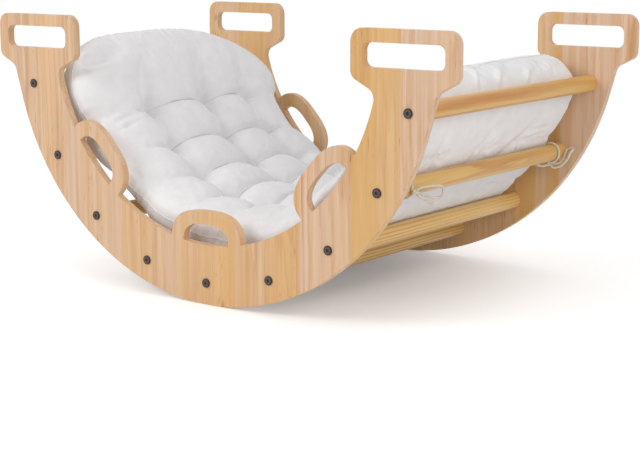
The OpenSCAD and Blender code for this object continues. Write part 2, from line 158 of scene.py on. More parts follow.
CAMERA_PLACE = (1.6474, -2.1467, 0.6079)
CAMERA_AZIMUTH = 37.24
CAMERA_ELEVATION = 11.078
CAMERA_ROLL = -0.162
CAMERA_LENS = 84.98
# Each lamp: its place, its width and its watts.
LAMPS = {
    "key": ((-1.4, -2.6, 2.0), 1.8, 40),
    "fill": ((2.8, -1.2, 1.3), 1.8, 25),
    "top": ((0.2, 0.2, 2.6), 2.0, 10),
}
LAMP_AIM = (0, 0, 0.2)
FLOOR_SIZE = 8
# How much the floor glows near the middle and far from it, and the distances between which it changes. The
# weaker glow near the middle paints shade on the floor under the arch.
FLOOR_LIFT_NEAR = 0.13
FLOOR_LIFT_FAR = 0.38
FLOOR_LIFT_SPAN = (0.08, 0.48)
# Distances over which the floor fades to white.
FLOOR_FADE = (0.75, 1.6)
WORLD_LIGHT = 0.44


def make_camera():
    data = bpy.data.cameras.new("camera")
    data.lens = CAMERA_LENS
    camera = linked("camera", data)
    azimuth, elevation = math.radians(CAMERA_AZIMUTH), math.radians(CAMERA_ELEVATION)
    back = Vector((
        math.sin(azimuth) * math.cos(elevation),
        -math.cos(azimuth) * math.cos(elevation),
        math.sin(elevation),
    ))
    roll = Quaternion((0, 0, 1), math.radians(CAMERA_ROLL))
    camera.location = CAMERA_PLACE
    camera.rotation_mode = "QUATERNION"
    camera.rotation_quaternion = (-back).to_track_quat("-Z", "Y") @ roll
    bpy.context.scene.camera = camera


def add_lamp(name, place, width, watts):
    data = bpy.data.lights.new(name, "AREA")
    data.shape = "DISK"
    data.size = width
    data.energy = watts
    lamp = linked(name, data)
    lamp.location = place
    lamp.rotation_euler = (Vector(LAMP_AIM) - Vector(place)).to_track_quat("-Z", "Y").to_euler()


# ---- material nodes ----

def new_material(name):
    material = bpy.data.materials.new(name)
    material.use_nodes = True
    tree = material.node_tree
    return material, tree, tree.nodes["Principled BSDF"]


def set_inputs(tree, target, inputs):
    """Sets a node's inputs. A value is a constant or another node's socket."""
    for key, value in dict(inputs).items():
        if isinstance(value, bpy.types.NodeSocket):
            tree.links.new(value, target.inputs[key])
        else:
            target.inputs[key].default_value = value


def node(tree, kind, inputs=(), **settings):
    """A shader node with its settings and its inputs."""
    made = tree.nodes.new("ShaderNode" + kind)
    for key, value in settings.items():
        setattr(made, key, value)
    set_inputs(tree, made, inputs)
    return made


def object_place(tree):
    return node(tree, "TexCoord").outputs["Object"]


def maths(tree, operation, a, b=0.0, clamp=False):
    return node(tree, "Math", {0: a, 1: b}, operation=operation, use_clamp=clamp).outputs[0]


def times(tree, a, b, clamp=False):
    return maths(tree, "MULTIPLY", a, b, clamp)


def scaled(tree, value, factor, offset, clamp=False):
    return maths(tree, "ADD", times(tree, value, factor), offset, clamp)


def smooth_range(tree, value, low, high, at_low=0.0, at_high=1.0):
    """Changes smoothly from at_low to at_high while a value goes from low to high."""
    return node(
        tree, "MapRange",
        {"Value": value, "From Min": low, "From Max": high, "To Min": at_low, "To Max": at_high},
        interpolation_type="SMOOTHSTEP",
    ).outputs[0]


def vectors(tree, operation, a, b):
    return node(tree, "VectorMath", {0: a, 1: b}, operation=operation).outputs[0]


def ramp(tree, factor, stops, interpolation="LINEAR"):
    """A colour ramp. A stop is a position and a grey or a colour."""
    made = node(tree, "ValToRGB", {"Fac": factor})
    band = made.color_ramp
    band.interpolation = interpolation
    while len(band.elements) < len(stops):
        band.elements.new(0.5)
    for element, (position, colour) in zip(band.elements, stops):
        element.position = position
        element.color = (*colour, 1) if hasattr(colour, "__len__") else (colour,) * 3 + (1,)
    return made.outputs["Color"]


def mixed(tree, factor, a, b, blend="MIX"):
    made = node(tree, "Mix", {0: factor, 6: a, 7: b}, data_type="RGBA", blend_type=blend)
    return made.outputs[2]


def shaded(tree, colour, shade):
    return mixed(tree, 1.0, colour, shade, "MULTIPLY")


def noise_value(tree, point, scale, detail=2.0, rough=0.5):
    """Noise from 0 to 1, stretched by a scale for each axis."""
    spread = vectors(tree, "MULTIPLY", point, scale)
    return node(
        tree, "TexNoise", {"Vector": spread, "Scale": 1.0, "Detail": detail, "Roughness": rough}
    ).outputs["Fac"]


def screen(red, green, blue):
    """A screen colour from 0 to 255 as the linear colour that a shader takes."""
    def linear(value):
        share = value / 255
        return share / 12.92 if share <= 0.04045 else ((share + 0.055) / 1.055) ** 2.4
    return (linear(red), linear(green), linear(blue), 1)


def bumped(tree, shader, height, strength, distance):
    bump = node(tree, "Bump", {"Height": height, "Strength": strength, "Distance": distance})
    tree.links.new(bump.outputs["Normal"], shader.inputs["Normal"])


# ---- pine ----

# Tones across one growth ring, from one early wood to the next.
RING_TONES = [(0.0, 0.25), (0.12, 0.0), (0.5, 0.12), (0.82, 0.8), (0.93, 1.0), (1.0, 0.3)]
FLECK_COLOUR = (0.74, 0.60, 0.44)


def growth_rings(tree, point, pith, gap, wander, unevenness=0.5):
    """Tone of the growth rings at a point whose z runs along the grain: 1 is dark late wood."""
    slow = vectors(tree, "MULTIPLY", point, (9, 9, 1.3))
    bend = node(tree, "TexNoise", {"Vector": slow, "Scale": 1.0, "Detail": 2.0}).outputs["Color"]
    bend = vectors(tree, "MULTIPLY", vectors(tree, "SUBTRACT", bend, (0.5, 0.5, 0.5)), (wander, wander, 0))
    away = vectors(tree, "SUBTRACT", vectors(tree, "ADD", point, bend), pith)
    flat = vectors(tree, "MULTIPLY", away, (1, 1, 0))
    reach = node(tree, "VectorMath", {0: flat}, operation="LENGTH").outputs["Value"]
    rough = noise_value(tree, point, (60, 60, 4), 3.0, 0.6)
    uneven = times(tree, rough, unevenness)
    phase = maths(tree, "ADD", maths(tree, "DIVIDE", reach, gap), uneven)
    ring = maths(tree, "FRACT", phase)
    return ramp(tree, ring, RING_TONES)


def pine_finish(tree, shader, point, tone, early, late, flecks=1.0):
    """Lacquered pine from its ring tone, with fibres and short dark resin flecks."""
    patch = ramp(tree, noise_value(tree, point, (12, 12, 2.2)), [(0.3, 0.25), (0.7, 1.0)])
    strength = times(tree, tone, patch)
    fibre = noise_value(tree, point, (620, 620, 11), 3.0, 0.6)
    streak = noise_value(tree, point, (300, 300, 42), 1.0)
    where = noise_value(tree, point, (14, 14, 4), 1.0)
    streak = times(tree, streak, ramp(tree, where, [(0.45, 0.75), (0.7, 1.12)]))
    streak = ramp(tree, streak, [(0.62, (1.0, 1.0, 1.0)), (0.74, FLECK_COLOUR)])
    fibre_tone = ramp(tree, fibre, [(0.25, 0.90), (0.75, 1.07)])
    colour = shaded(tree, mixed(tree, strength, early, late), fibre_tone)
    set_inputs(tree, shader, {
        "Base Color": mixed(tree, flecks, colour, streak, "MULTIPLY"),
        "Roughness": scaled(tree, fibre, 0.14, 0.34),
        "Specular IOR Level": 0.45,
        "Coat Weight": 0.12,
        "Coat Roughness": 0.35,
    })
    bumped(tree, shader, scaled(tree, strength, 0.5, fibre), 0.22, 0.00025)


# Boards of each panel from left to right: where one starts, its tone and warmth, and its pith.
FRONT_BOARDS = [
    (-0.500, 0.55, 0.25, -0.44), (-0.402, 0.72, 0.10, -0.25), (-0.330, 0.60, 0.35, -0.36),
    (-0.262, 0.75, 0.20, -0.30), (-0.195, 0.50, 0.60, -0.10), (-0.128, 0.62, 0.30, -0.05),
    (-0.020, 0.55, 0.70, 0.10), (0.060, 0.68, 0.40, 0.12), (0.121, 0.52, 0.85, 0.20),
    (0.188, 0.15, 0.70, 0.27), (0.199, 0.88, 0.08, 0.31), (0.300, 0.45, 1.00, 0.24),
    (0.345, 0.60, 0.75, 0.43), (0.390, 0.75, 0.12, 0.50), (0.450, 0.68, 0.25, 0.52),
]
BACK_BOARDS = [
    (-0.500, 0.40, 0.30, -0.44), (-0.412, 0.20, 0.85, -0.25), (-0.352, 0.25, 0.60, -0.36),
    (-0.262, 0.35, 0.40, -0.30), (0.180, 0.40, 0.75, 0.20), (0.268, 0.10, 1.00, 0.31),
    (0.298, 0.60, 0.35, 0.24), (0.322, 0.20, 0.95, 0.43), (0.346, 0.62, 0.05, 0.50),
    (0.440, 0.80, 0.15, 0.52),
]
PANEL_EARLY_PINK = screen(226, 194, 166)
PANEL_EARLY_WARM = screen(230, 183, 118)
PANEL_LATE = screen(196, 140, 84)


def panel_pine(name, board_list, shift):
    """Edge-glued pine boards that stand upright. The shift moves the pattern for another panel."""
    material, tree, shader = new_material(name)
    point = vectors(tree, "ADD", object_place(tree), shift)
    parts = node(tree, "SeparateXYZ", {0: point})
    along = maths(tree, "ADD", parts.outputs["X"], 0.5)
    boards = ramp(
        tree, along, [(start + 0.5, (tone, warmth, pith + 0.5)) for start, tone, warmth, pith in board_list],
        "CONSTANT",
    )
    board = node(tree, "SeparateColor", {0: boards})
    pith_x = maths(tree, "SUBTRACT", board.outputs["Blue"], 0.5)
    pith = node(tree, "CombineXYZ", {"X": pith_x, "Y": 0.11, "Z": 0.0}).outputs[0]
    offset = node(tree, "CombineXYZ", {"Z": times(tree, board.outputs["Blue"], 3.7)}).outputs[0]
    grain_point = vectors(tree, "ADD", point, offset)
    rings = growth_rings(tree, grain_point, pith, 0.0085, 0.060, 2.2)
    plain = ramp(tree, noise_value(tree, point, (7, 7, 1.1), 1.0), [(0.38, 0.10), (0.62, 0.55)])
    figure = noise_value(tree, grain_point, (75, 75, 1.5), 3.0, 0.55)
    figure = ramp(tree, figure, [(0.40, 0.0), (0.75, 0.75)])
    tone = scaled(tree, rings, plain, figure, clamp=True)
    cloud = maths(tree, "SUBTRACT", noise_value(tree, grain_point, (15, 15, 1.2), 2.0), 0.5)
    warmth = scaled(tree, cloud, 1.6, board.outputs["Green"], clamp=True)
    early = mixed(tree, warmth, PANEL_EARLY_PINK, PANEL_EARLY_WARM)
    level = ramp(tree, board.outputs["Red"], [(0.0, 0.90), (1.0, 1.04)])
    pine_finish(tree, shader, grain_point, tone, shaded(tree, early, level), PANEL_LATE)
    return material


RUNG_EARLY_PALE = screen(233, 196, 126)
RUNG_EARLY_WARM = screen(224, 178, 100)
RUNG_LATE = screen(192, 122, 56)
# Each rung's grain: how far its pith is from its middle and which way, in degrees from straight
# down, the gap between its growth rings, its slant in the plank, how far the rings wander, and
# how warm it is.
RUNG_GRAIN = [
    (0.032, 67, 0.0048, 0.8, 0.014, 0.3), (0.026, 134, 0.0052, 1.6, 0.014, 0.5),
    (0.040, 201, 0.0036, 0.2, 0.014, 0.2), (0.026, 268, 0.0044, 0.9, 0.014, 0.4),
    (0.029, 335, 0.0060, -1.4, 0.014, 0.6), (0.050, -20, 0.0058, 0.3, 0.014, 0.3),
    (0.070, -10, 0.0056, 0.05, 0.012, 0.1), (0.026, 75, 0.0095, -1.6, 0.022, 0.6),
    (0.022, 72, 0.0085, 1.2, 0.024, 1.0),
]
# How far apart along the plank the rungs are cut.
PLANK_STEP = 0.9


def rung_pine(number, middle):
    """Pine dowel with its grain along y. Each is cut from another place in the plank."""
    material, tree, shader = new_material(f"rung_pine_{number}")
    start = (middle.x, -PLANK_STEP * number, middle.z)
    centred = vectors(tree, "SUBTRACT", object_place(tree), start)
    away, way, gap, slant, wander, warmth = RUNG_GRAIN[number - 1]
    upright = node(tree, "Mapping", {"Vector": centred, "Rotation": (math.radians(90), 0, 0)}).outputs[0]
    turned = node(
        tree, "Mapping",
        {"Vector": upright, "Rotation": (math.radians(slant), 0, math.radians(-way))},
    ).outputs[0]
    shift = math.sin(math.radians(slant)) * PLANK_STEP * number
    pith = (shift * math.sin(math.radians(-way)), away - shift * math.cos(math.radians(-way)), 0)
    tone = growth_rings(tree, turned, pith, gap, wander, 0.8)
    early = mixed(tree, warmth, RUNG_EARLY_PALE, RUNG_EARLY_WARM)
    pine_finish(tree, shader, turned, tone, early, RUNG_LATE, flecks=0.0)
    return material


# ---- metal and cotton ----

STEEL_DARK = (0.022, 0.017, 0.015)
# Lighter brown of a bolt head's flat ring: a painted reflection of the bright room, not wear.
STEEL_PAINTED_REFLECTION = (0.085, 0.062, 0.054)
# Grey of the thin line painted along the creases: painted shade where one pillow meets the next.
CREASE_SHADE_COLOUR = screen(158, 156, 158)


def black_steel():
    """Black oxide, with a lighter brown ring painted on a bolt's head as the reflection in its flat face.
    reach is 1 at the head's rim.
    """
    material, tree, shader = new_material("black_steel")
    cloud = noise_value(tree, object_place(tree), (400, 400, 400), 3.0)
    reach = node(tree, "Attribute", attribute_name="reach").outputs["Fac"]
    # Plain black oxide at the socket and the rim, with the painted reflection on the flat ring between them.
    colour = ramp(
        tree, reach, [(0.30, STEEL_DARK), (0.38, STEEL_PAINTED_REFLECTION), (0.72, STEEL_PAINTED_REFLECTION), (0.84, STEEL_DARK)]
    )
    shade = ramp(tree, cloud, [(0.3, 0.8), (0.7, 1.15)])
    set_inputs(tree, shader, {
        "Base Color": shaded(tree, colour, shade),
        "Roughness": scaled(tree, cloud, 0.25, 0.3),
        "Metallic": 0.15,
    })
    bumped(tree, shader, cloud, 0.1, 0.0001)
    return material


def zinc_steel():
    material, tree, shader = new_material("zinc_steel")
    cloud = noise_value(tree, object_place(tree), (300, 40, 300), 3.0)
    set_inputs(tree, shader, {
        "Base Color": ramp(tree, cloud, [(0.3, (0.42, 0.42, 0.40)), (0.7, (0.60, 0.60, 0.58))]),
        "Roughness": scaled(tree, cloud, 0.3, 0.2),
        "Metallic": 1.0,
    })
    return material


def cotton(name, colour_low, colour_high, thread, bump):
    """Plain-woven cotton on the piece's own map, in metres, with painted shade lines along the seat's
    creases. thread is the threads' spacing.
    """
    material, tree, shader = new_material(name)
    place = node(tree, "UVMap", uv_map="cloth").outputs[0]
    parts = node(tree, "SeparateXYZ", {0: place})
    turn = 2 * math.pi / thread
    warp = maths(tree, "SINE", times(tree, parts.outputs["X"], turn))
    weft = maths(tree, "SINE", times(tree, parts.outputs["Y"], turn))
    weave = times(tree, warp, weft)
    solid = object_place(tree)
    colour = ramp(tree, noise_value(tree, solid, (35, 35, 35), 4.0), [(0.3, colour_low), (0.7, colour_high)])
    # A thin grey line along each row's crease is painted shade between the pillows.
    off_line = node(tree, "Attribute", attribute_name="line_off").outputs["Fac"]
    level = node(tree, "Attribute", attribute_name="crease_shade_level").outputs["Fac"]
    near = smooth_range(tree, maths(tree, "ABSOLUTE", off_line), 0.0, LINE_R, 1.0, 0.0)
    broken = ramp(tree, noise_value(tree, solid, (22, 22, 22), 1.0), [(0.40, 0.35), (0.62, 1.0)])
    line = times(tree, times(tree, near, level), broken, clamp=True)
    puckers = noise_value(tree, solid, (60, 60, 60), 3.0, 0.55)
    set_inputs(tree, shader, {
        "Base Color": mixed(tree, line, colour, CREASE_SHADE_COLOUR),
        "Roughness": 0.85,
        "Sheen Weight": 0.25,
        "Sheen Roughness": 0.5,
        "Specular IOR Level": 0.25,
    })
    height = scaled(tree, weave, 0.05, times(tree, puckers, 2.0))
    bumped(tree, shader, height, bump, 0.001)
    return material


def spun_cotton(name, colour_low, colour_high):
    """Cotton cord or seam with fine fibres."""
    material, tree, shader = new_material(name)
    place = object_place(tree)
    fibre = noise_value(tree, place, (2600, 2600, 2600), 3.0)
    colour = ramp(tree, fibre, [(0.3, colour_low), (0.7, colour_high)])
    soil = ramp(tree, noise_value(tree, place, (160, 160, 160)), [(0.3, 0.88), (0.7, 1.05)])
    set_inputs(tree, shader, {
        "Base Color": shaded(tree, colour, soil),
        "Roughness": 0.9,
        "Sheen Weight": 0.2,
        "Specular IOR Level": 0.2,
    })
    bumped(tree, shader, fibre, 0.5, 0.0003)
    return material


# ---- pieces ----

def new_piece(name, bm, material):
    """A smooth-shaded object from a bmesh, on the root body."""
    mesh = mesh_from(name, bm)
    piece = linked(name, mesh)
    mesh.materials.clear()
    mesh.materials.append(material)
    shade_smooth(piece)
    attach(piece, "root")
    return piece


def shade_smooth(piece):
    for polygon in piece.data.polygons:
        polygon.use_smooth = True


def keep_flat(piece):
    """Leaves a piece's large faces flat under its smooth shading."""
    piece.modifiers.new("even_faces", "WEIGHTED_NORMAL").keep_sharp = True


def round_edges(bm, edges, radius):
    bmesh.ops.bevel(
        bm, geom=edges, offset=radius, offset_type="OFFSET", segments=4, profile=0.5,
        affect="EDGES", clamp_overlap=True, material=-1,
    )


# How close two places count as one.
NEAR = 0.00001


def rounded_panel(cad_name, name, material):
    """The CAD panel with its sharp edges rounded over."""
    bm = bmesh.new()
    bm.from_mesh(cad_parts[cad_name].data)
    bmesh.ops.remove_doubles(bm, verts=bm.verts, dist=NEAR)
    bmesh.ops.dissolve_limit(bm, angle_limit=math.radians(0.3), verts=bm.verts, edges=bm.edges)
    rims = [e for e in bm.edges if len(e.link_faces) == 2 and e.calc_face_angle() > math.radians(60)]
    rims = [e for e in rims if any(abs(f.normal.y) > 0.9 for f in e.link_faces)]
    round_edges(bm, rims, EDGE_ROUND)
    piece = new_piece(name, bm, material)
    keep_flat(piece)
    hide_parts(cad_name)


def turned_rung(number):
    """A dowel with rounded ends and a blind hole for the insert in each."""
    low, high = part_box(f"rung_{number}")
    middle = (low + high) / 2
    bm = bmesh.new()
    bmesh.ops.create_cone(
        bm, cap_ends=True, segments=RUNG_SIDES, radius1=RUNG_R, radius2=RUNG_R, depth=high.y - low.y
    )
    caps = [f for f in bm.faces if abs(f.normal.z) > 0.9]
    bmesh.ops.inset_individual(bm, faces=caps, thickness=RUNG_R - INSERT_R)
    for face in [f for f in bm.faces if abs(f.normal.z) > 0.9 and len(f.verts) == RUNG_SIDES]:
        down = -face.normal * INSERT_HOLE
        bottom = bmesh.ops.extrude_discrete_faces(bm, faces=[face])["faces"][0]
        bmesh.ops.translate(bm, vec=down, verts=bottom.verts)
    rims = [
        e for e in bm.edges
        if all(abs(v.co.xy.length - RUNG_R) < NEAR for v in e.verts)
        and abs(e.verts[0].co.z - e.verts[1].co.z) < NEAR
    ]
    round_edges(bm, rims, RUNG_END_ROUND)
    turn_about(bm, math.radians(90), "X")
    bmesh.ops.translate(bm, verts=bm.verts, vec=middle)
    piece = new_piece(f"dowel_{number}", bm, rung_pine(number, middle))
    keep_flat(piece)
    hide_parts(f"rung_{number}")


def dress(cad_name, material):
    """Gives a CAD node that stays its finish."""
    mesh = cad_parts[cad_name].data
    mesh.materials.clear()
    mesh.materials.append(material)


BOLT_HEAD_R = 0.00775
BOLT_HEAD_H = 0.0026
SOCKET_R = 0.0028
SOCKET_H = 0.0019
SOCKET_MOUTH_R = 0.0031
SOCKET_EDGE = 0.0003
SHANK_R = 0.003
HEAD_ROUND = 0.0009
HEAD_FOOT = 0.0002
# The groove round a bolt head: radii, and how deep it is there.
HEAD_GROOVE = [(0.0056, 0.0), (0.0052, 0.0003), (0.0048, 0.0)]
BOLT_SIDES = 48
# Turn of each bolt, in radians for a metre along the arch, so that no two sockets are alike.
BOLT_TURN = 40


def head_profile():
    """Radius and height of a bolt's surface, from the shank's end to the socket's mouth."""
    rim = [
        (BOLT_HEAD_R - HEAD_ROUND * (1 - math.sin(t)), BOLT_HEAD_H - HEAD_ROUND * (1 - math.cos(t)))
        for t in (math.pi / 2, math.pi * 0.38, math.pi / 4, math.pi * 0.12, 0)
    ]
    groove = [(radius, BOLT_HEAD_H - depth) for radius, depth in HEAD_GROOVE]
    under = [
        (SHANK_R, -PANEL_T), (SHANK_R, 0.0), (BOLT_HEAD_R - HEAD_FOOT, 0.0), (BOLT_HEAD_R, HEAD_FOOT),
    ]
    return [*under, *rim, *groove, (SOCKET_MOUTH_R, BOLT_HEAD_H)]


def add_bolt(bm, place, outwards):
    """A flat-headed bolt with a hexagon socket. Its head sits on the panel at the place."""
    part = bmesh.new()
    points = [part.verts.new((radius, 0, height)) for radius, height in head_profile()]
    for low, high in zip(points, points[1:]):
        part.edges.new((low, high))
    bmesh.ops.spin(
        part, geom=part.verts[:] + part.edges[:], cent=(0, 0, 0), axis=(0, 0, 1),
        angle=2 * math.pi, steps=BOLT_SIDES, use_merge=True,
    )
    for depth in (SOCKET_EDGE, SOCKET_H):
        mouth = [e for e in part.edges if e.is_boundary and e.verts[0].co.z > 0]
        lowered = bmesh.ops.extrude_edge_only(part, edges=mouth)["geom"]
        for point in (g for g in lowered if isinstance(g, bmesh.types.BMVert)):
            turn = math.atan2(point.co.y, point.co.x)
            flat = (turn + math.pi / 6) % (math.pi / 3) - math.pi / 6
            flat_r = SOCKET_R * math.cos(math.pi / 6) / math.cos(flat)
            point.co = (flat_r * math.cos(turn), flat_r * math.sin(turn), BOLT_HEAD_H - depth)
    for above in (True, False):
        hole = [e for e in part.edges if e.is_boundary and (e.verts[0].co.z > 0) == above]
        bmesh.ops.edgeloop_fill(part, edges=hole)
    bmesh.ops.recalc_face_normals(part, faces=part.faces)
    turn_about(part, math.radians(-90 * outwards), "X")
    turn_about(part, place.x * BOLT_TURN, "Y")
    bmesh.ops.translate(part, vec=place, verts=part.verts)
    mesh = mesh_from("bolt", part)
    bm.from_mesh(mesh)
    bpy.data.meshes.remove(mesh)


def make_bolts(side, material):
    outwards = -1 if side == "front" else 1
    bm = bmesh.new()
    places = [arc_point(RUNG_CIRCLE_R, angle, outwards * FRAME_W / 2) for angle in RUNG_ANGLES]
    for place in places:
        add_bolt(bm, place, outwards)
    piece = new_piece(f"{side}_socket_bolts", bm, material)
    reach = [
        min(math.hypot(v.co.x - place.x, v.co.z - place.z) for place in places) / BOLT_HEAD_R
        for v in piece.data.vertices
    ]
    piece.data.attributes.new("reach", "FLOAT", "POINT").data.foreach_set("value", reach)
    keep_flat(piece)
    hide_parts(f"{side}_bolts")


# ---- cushion ----

ROW_LINES = 14
END_LINES = 28
COLUMN_LINES = 22
SIDE_LINES = 20
LINES_ALONG = 2 * (TUFT_ROWS * ROW_LINES + END_LINES)
LINES_ACROSS = 2 * (COLUMN_LINES + SIDE_LINES)
# Distance at which the two faces' rims are welded.
WELD = 0.0000005


def within(value):
    """A value, kept between 0 and 1."""
    return max(0.0, min(1.0, value))


def nearest(place, last):
    """The whole number nearest to a place, from -last to last."""
    return max(-last, min(last, round(place)))


def bell(away, width):
    """1 at 0, falling off to both sides over a width."""
    return math.exp(-((away / width) ** 2))


def along_seam(angle):
    """Length of an angle on the surface that the edge seam lies in."""
    return math.radians(angle) * SEAM_R


def crowded(share):
    """Moves a share from 0 to 1 so that lines lie closer together near 1."""
    return 0.45 * share + 0.55 * math.sin(math.pi / 2 * share)


def end_of(place):
    """The values of the end of the cushion that a place lies towards."""
    return LEFT_END if place < 0 else RIGHT_END


def line_angle(line):
    inner = TUFT_ROWS * ROW_LINES
    if abs(line) <= inner:
        return line * TUFT_STEP / ROW_LINES
    share = crowded((abs(line) - inner) / END_LINES)
    return math.copysign(TUFTED_ANGLE + (end_of(line)[0] - TUFTED_ANGLE) * share, line)


def line_y(line):
    if abs(line) <= COLUMN_LINES:
        return line * TUFT_COLUMN_Y / COLUMN_LINES
    share = crowded((abs(line) - COLUMN_LINES) / SIDE_LINES)
    return math.copysign(TUFT_COLUMN_Y + (HALF_W - TUFT_COLUMN_Y) * share, line)


def corner_of(angle, share):
    """Radius of an end's corner, which changes evenly from the front side to the back side."""
    front, back = end_of(angle)[4:]
    return front + (back - front) * (share + 1) / 2


def into_end(angle, share):
    """How far into an end's rounded corners a place lies, from 0 to 1."""
    last = end_of(angle)[0]
    return within((abs(angle) - last) / math.degrees(corner_of(angle, share) / SEAM_R) + 1)


def past_tufts(angle, over):
    return within((abs(angle) - TUFTED_ANGLE) / over)


def crease(place, last, reach):
    """1 on the lines at whole numbers up to last and 0 on the crowns between, as round pillows meet."""
    away = abs(place) - last if abs(place) > last else abs(place - round(place))
    span = reach if abs(place) > last else 0.5
    share = min(1.0, away / span)
    return 1 - math.sqrt(1 - (1 - share) ** 2)


def faded(place, first, last):
    """1 up to first, falling smoothly to 0 at last."""
    share = within((abs(place) - first) / (last - first))
    return 1 - share * share * (3 - 2 * share)


def near_end(angle, end):
    """0 in the tufted middle and 1 towards one end, which is -1 for the left and 1 for the right."""
    return 1 - faded(max(0.0, angle * end), *END_CHANGE)


def width_at(angle, share):
    """Half the cushion's width at an angle, on the side that a share lies towards."""
    round_off = corner_of(angle, share) * (1 - math.sqrt(1 - into_end(angle, share) ** 2))
    drawn_in = SIDE_SINK * math.cos(math.pi * angle / TUFT_STEP) ** 2 * faded(angle, *SIDE_SINK_END)
    widened = END_WIDENING * math.sin(math.pi / 2 * past_tufts(angle, WIDENING_ANGLE))
    for side, at, reach, depth in WAISTS:
        if side * share > 0:
            drawn_in += depth * abs(share) * bell(angle - at, reach)
    return HALF_W + widened - round_off - drawn_in


def end_bend(angle, share):
    """How far the end of the cushion that an angle lies towards falls short there, in degrees."""
    lean, front_bow, back_bow = end_of(angle)[1:4]
    return lean * share + (back_bow * share ** 3 if share > 0 else front_bow * share ** 2)


def bowed(angle, share):
    """The angle that a place moves to when the ends are bent."""
    back = end_bend(angle, share) * past_tufts(angle, end_of(angle)[0] - TUFTED_ANGLE)
    return angle - math.copysign(1, angle) * back


def side_shape(angle, share, seat):
    """The power and the root of the cushion's fall towards a side: a low power is a slim side."""
    left, right = near_end(angle, -1), near_end(angle, 1)
    if seat:
        slim = left if share > 0 else right
        return 4 - 1.3 * slim, 0.5 + 0.1 * slim
    if share > 0:
        full = 1 - faded(max(0.0, angle), *FULL_CHANGE)
        return 7 + 15 * full, 0.4 - 0.12 * full
    slim = bell(angle - SLIM_ANGLE, SLIM_REACH)
    return 8 - 5.2 * slim - 3.6 * right, 0.38 + 0.24 * slim + 0.14 * right


def swell(angle, share, seat):
    power, root = side_shape(angle, share, seat)
    return max(0.0, 1 - abs(share) ** power) ** root * math.sqrt(1 - into_end(angle, share) ** 2)


def column_shift(across):
    """How far the columns of tufts lie from even places across the cushion."""
    middle = MIDDLE_COLUMN_SHIFT * max(0.0, 1 - abs(across) / TUFT_COLUMN_Y)
    from_front = across + TUFT_COLUMN_Y
    reach = TUFT_COLUMN_Y if from_front > 0 else HALF_W - TUFT_COLUMN_Y
    return middle + FRONT_COLUMN_SHIFT * max(0.0, 1 - abs(from_front) / reach)


def row_place(angle, y):
    """Place along the cushion in rows of tufts. A row arches towards the end between its tufts."""
    between = abs(math.sin(math.pi * y / TUFT_COLUMN_Y)) ** 0.7 if abs(y) < TUFT_COLUMN_Y else 0.0
    arch = ROW_ARCH * between * min(1.0, abs(angle) / TUFT_STEP)
    return (angle - math.copysign(arch, angle)) / TUFT_STEP


def pinch(angle, y, width):
    """1 at a tuft, falling off over a width."""
    row = nearest(angle / TUFT_STEP, TUFT_ROWS) * TUFT_STEP
    column = nearest(y / TUFT_COLUMN_Y, 1) * TUFT_COLUMN_Y
    away = math.hypot(along_seam(angle - row), y - column)
    return math.exp(-((away / width) ** PINCH_POWER))


def creases(angle, y):
    """How deep a place lies in a row's crease and in a column's, from 0 to 1."""
    row = crease(row_place(angle, y), TUFT_ROWS, ROW_REACH)
    return row, crease(y / TUFT_COLUMN_Y, 1, COLUMN_REACH)


def cushion_height(angle, y, share, seat):
    """Height over the seam surface, towards the seat or towards the rungs."""
    rise = swell(angle, share, seat)
    row, column = creases(angle, y)
    if seat:
        taut = 0.82 + 0.18 * math.cos(2 * math.pi * y / TUFT_COLUMN_Y)
        across = ROW_CREASE * row * taut * (0.3 + 0.7 * faded(y, *ROW_FADE))
        along = COLUMN_CREASE * column * faded(angle, *CREASE_END)
        dip = max(across, along) + 0.4 * min(across, along) + PINCH * pinch(angle, y, PINCH_WIDTH)
        return rise * (SEAT_CROWN - dip)
    dip = BACK_CREASE * max(row, column) * faded(angle, *CREASE_END)
    dip += BACK_TUFT_SINK * pinch(angle, y, BACK_PINCH_WIDTH)
    return min(BACK_CROWN, rise * (BACK_CROWN + BACK_SWELL - dip))


def cushion_start():
    """The unfilled cushion as a mesh, how firmly its points are held, and the points of its rim."""
    bm = bmesh.new()
    bmesh.ops.create_grid(bm, x_segments=LINES_ALONG, y_segments=LINES_ACROSS, size=1)
    copied = bmesh.ops.duplicate(bm, geom=list(bm.faces))["geom"]
    back_faces = [part for part in copied if isinstance(part, bmesh.types.BMFace)]
    back_points = {point for face in back_faces for point in face.verts}
    bmesh.ops.reverse_faces(bm, faces=back_faces)
    uv = bm.loops.layers.uv.new("cloth")
    last_i, last_j = LINES_ALONG // 2, LINES_ACROSS // 2
    drop_at, drop_reach, drop = FRONT_DROP
    held, lines = {}, {}
    for point in bm.verts:
        line_i = round(point.co.x * LINES_ALONG / 2)
        line_j = round(point.co.y * LINES_ACROSS / 2)
        seat = point not in back_points
        angle, across = line_angle(line_i), line_y(line_j)
        share = across / HALF_W
        y = share * width_at(angle, share) + column_shift(across)
        rim = abs(line_i) == last_i or abs(line_j) == last_j
        height = 0.0 if rim else cushion_height(angle, across, share, seat)
        turn = bowed(angle, share)
        held[point] = hold_of(angle, across, rim, seat)
        lines[point] = (line_i, line_j)
        for loop in point.link_loops:
            loop[uv].uv = (along_seam(turn), y)
        seam_r = SEAM_R + drop * max(0.0, -share) ** 3 * bell(angle - drop_at, drop_reach)
        radius = seam_r - height if seat else min(SEAM_R + BACK_CROWN, seam_r + height)
        point.co = arc_point(radius, turn, y)
    merged = bmesh.ops.find_doubles(bm, verts=bm.verts, dist=WELD)["targetmap"]
    bmesh.ops.weld_verts(bm, targetmap=merged)
    bm.verts.index_update()
    numbers = {lines[point]: point.index for point in bm.verts}
    rim = [(i, -last_j) for i in range(-last_i, last_i)]
    rim += [(last_i, j) for j in range(-last_j, last_j)]
    rim += [(-i, last_j) for i in range(-last_i, last_i)]
    rim += [(-last_i, -j) for j in range(-last_j, last_j)]
    return bm, [held[point] for point in bm.verts], [numbers[place] for place in rim]


CLOTH_FRAMES = 20
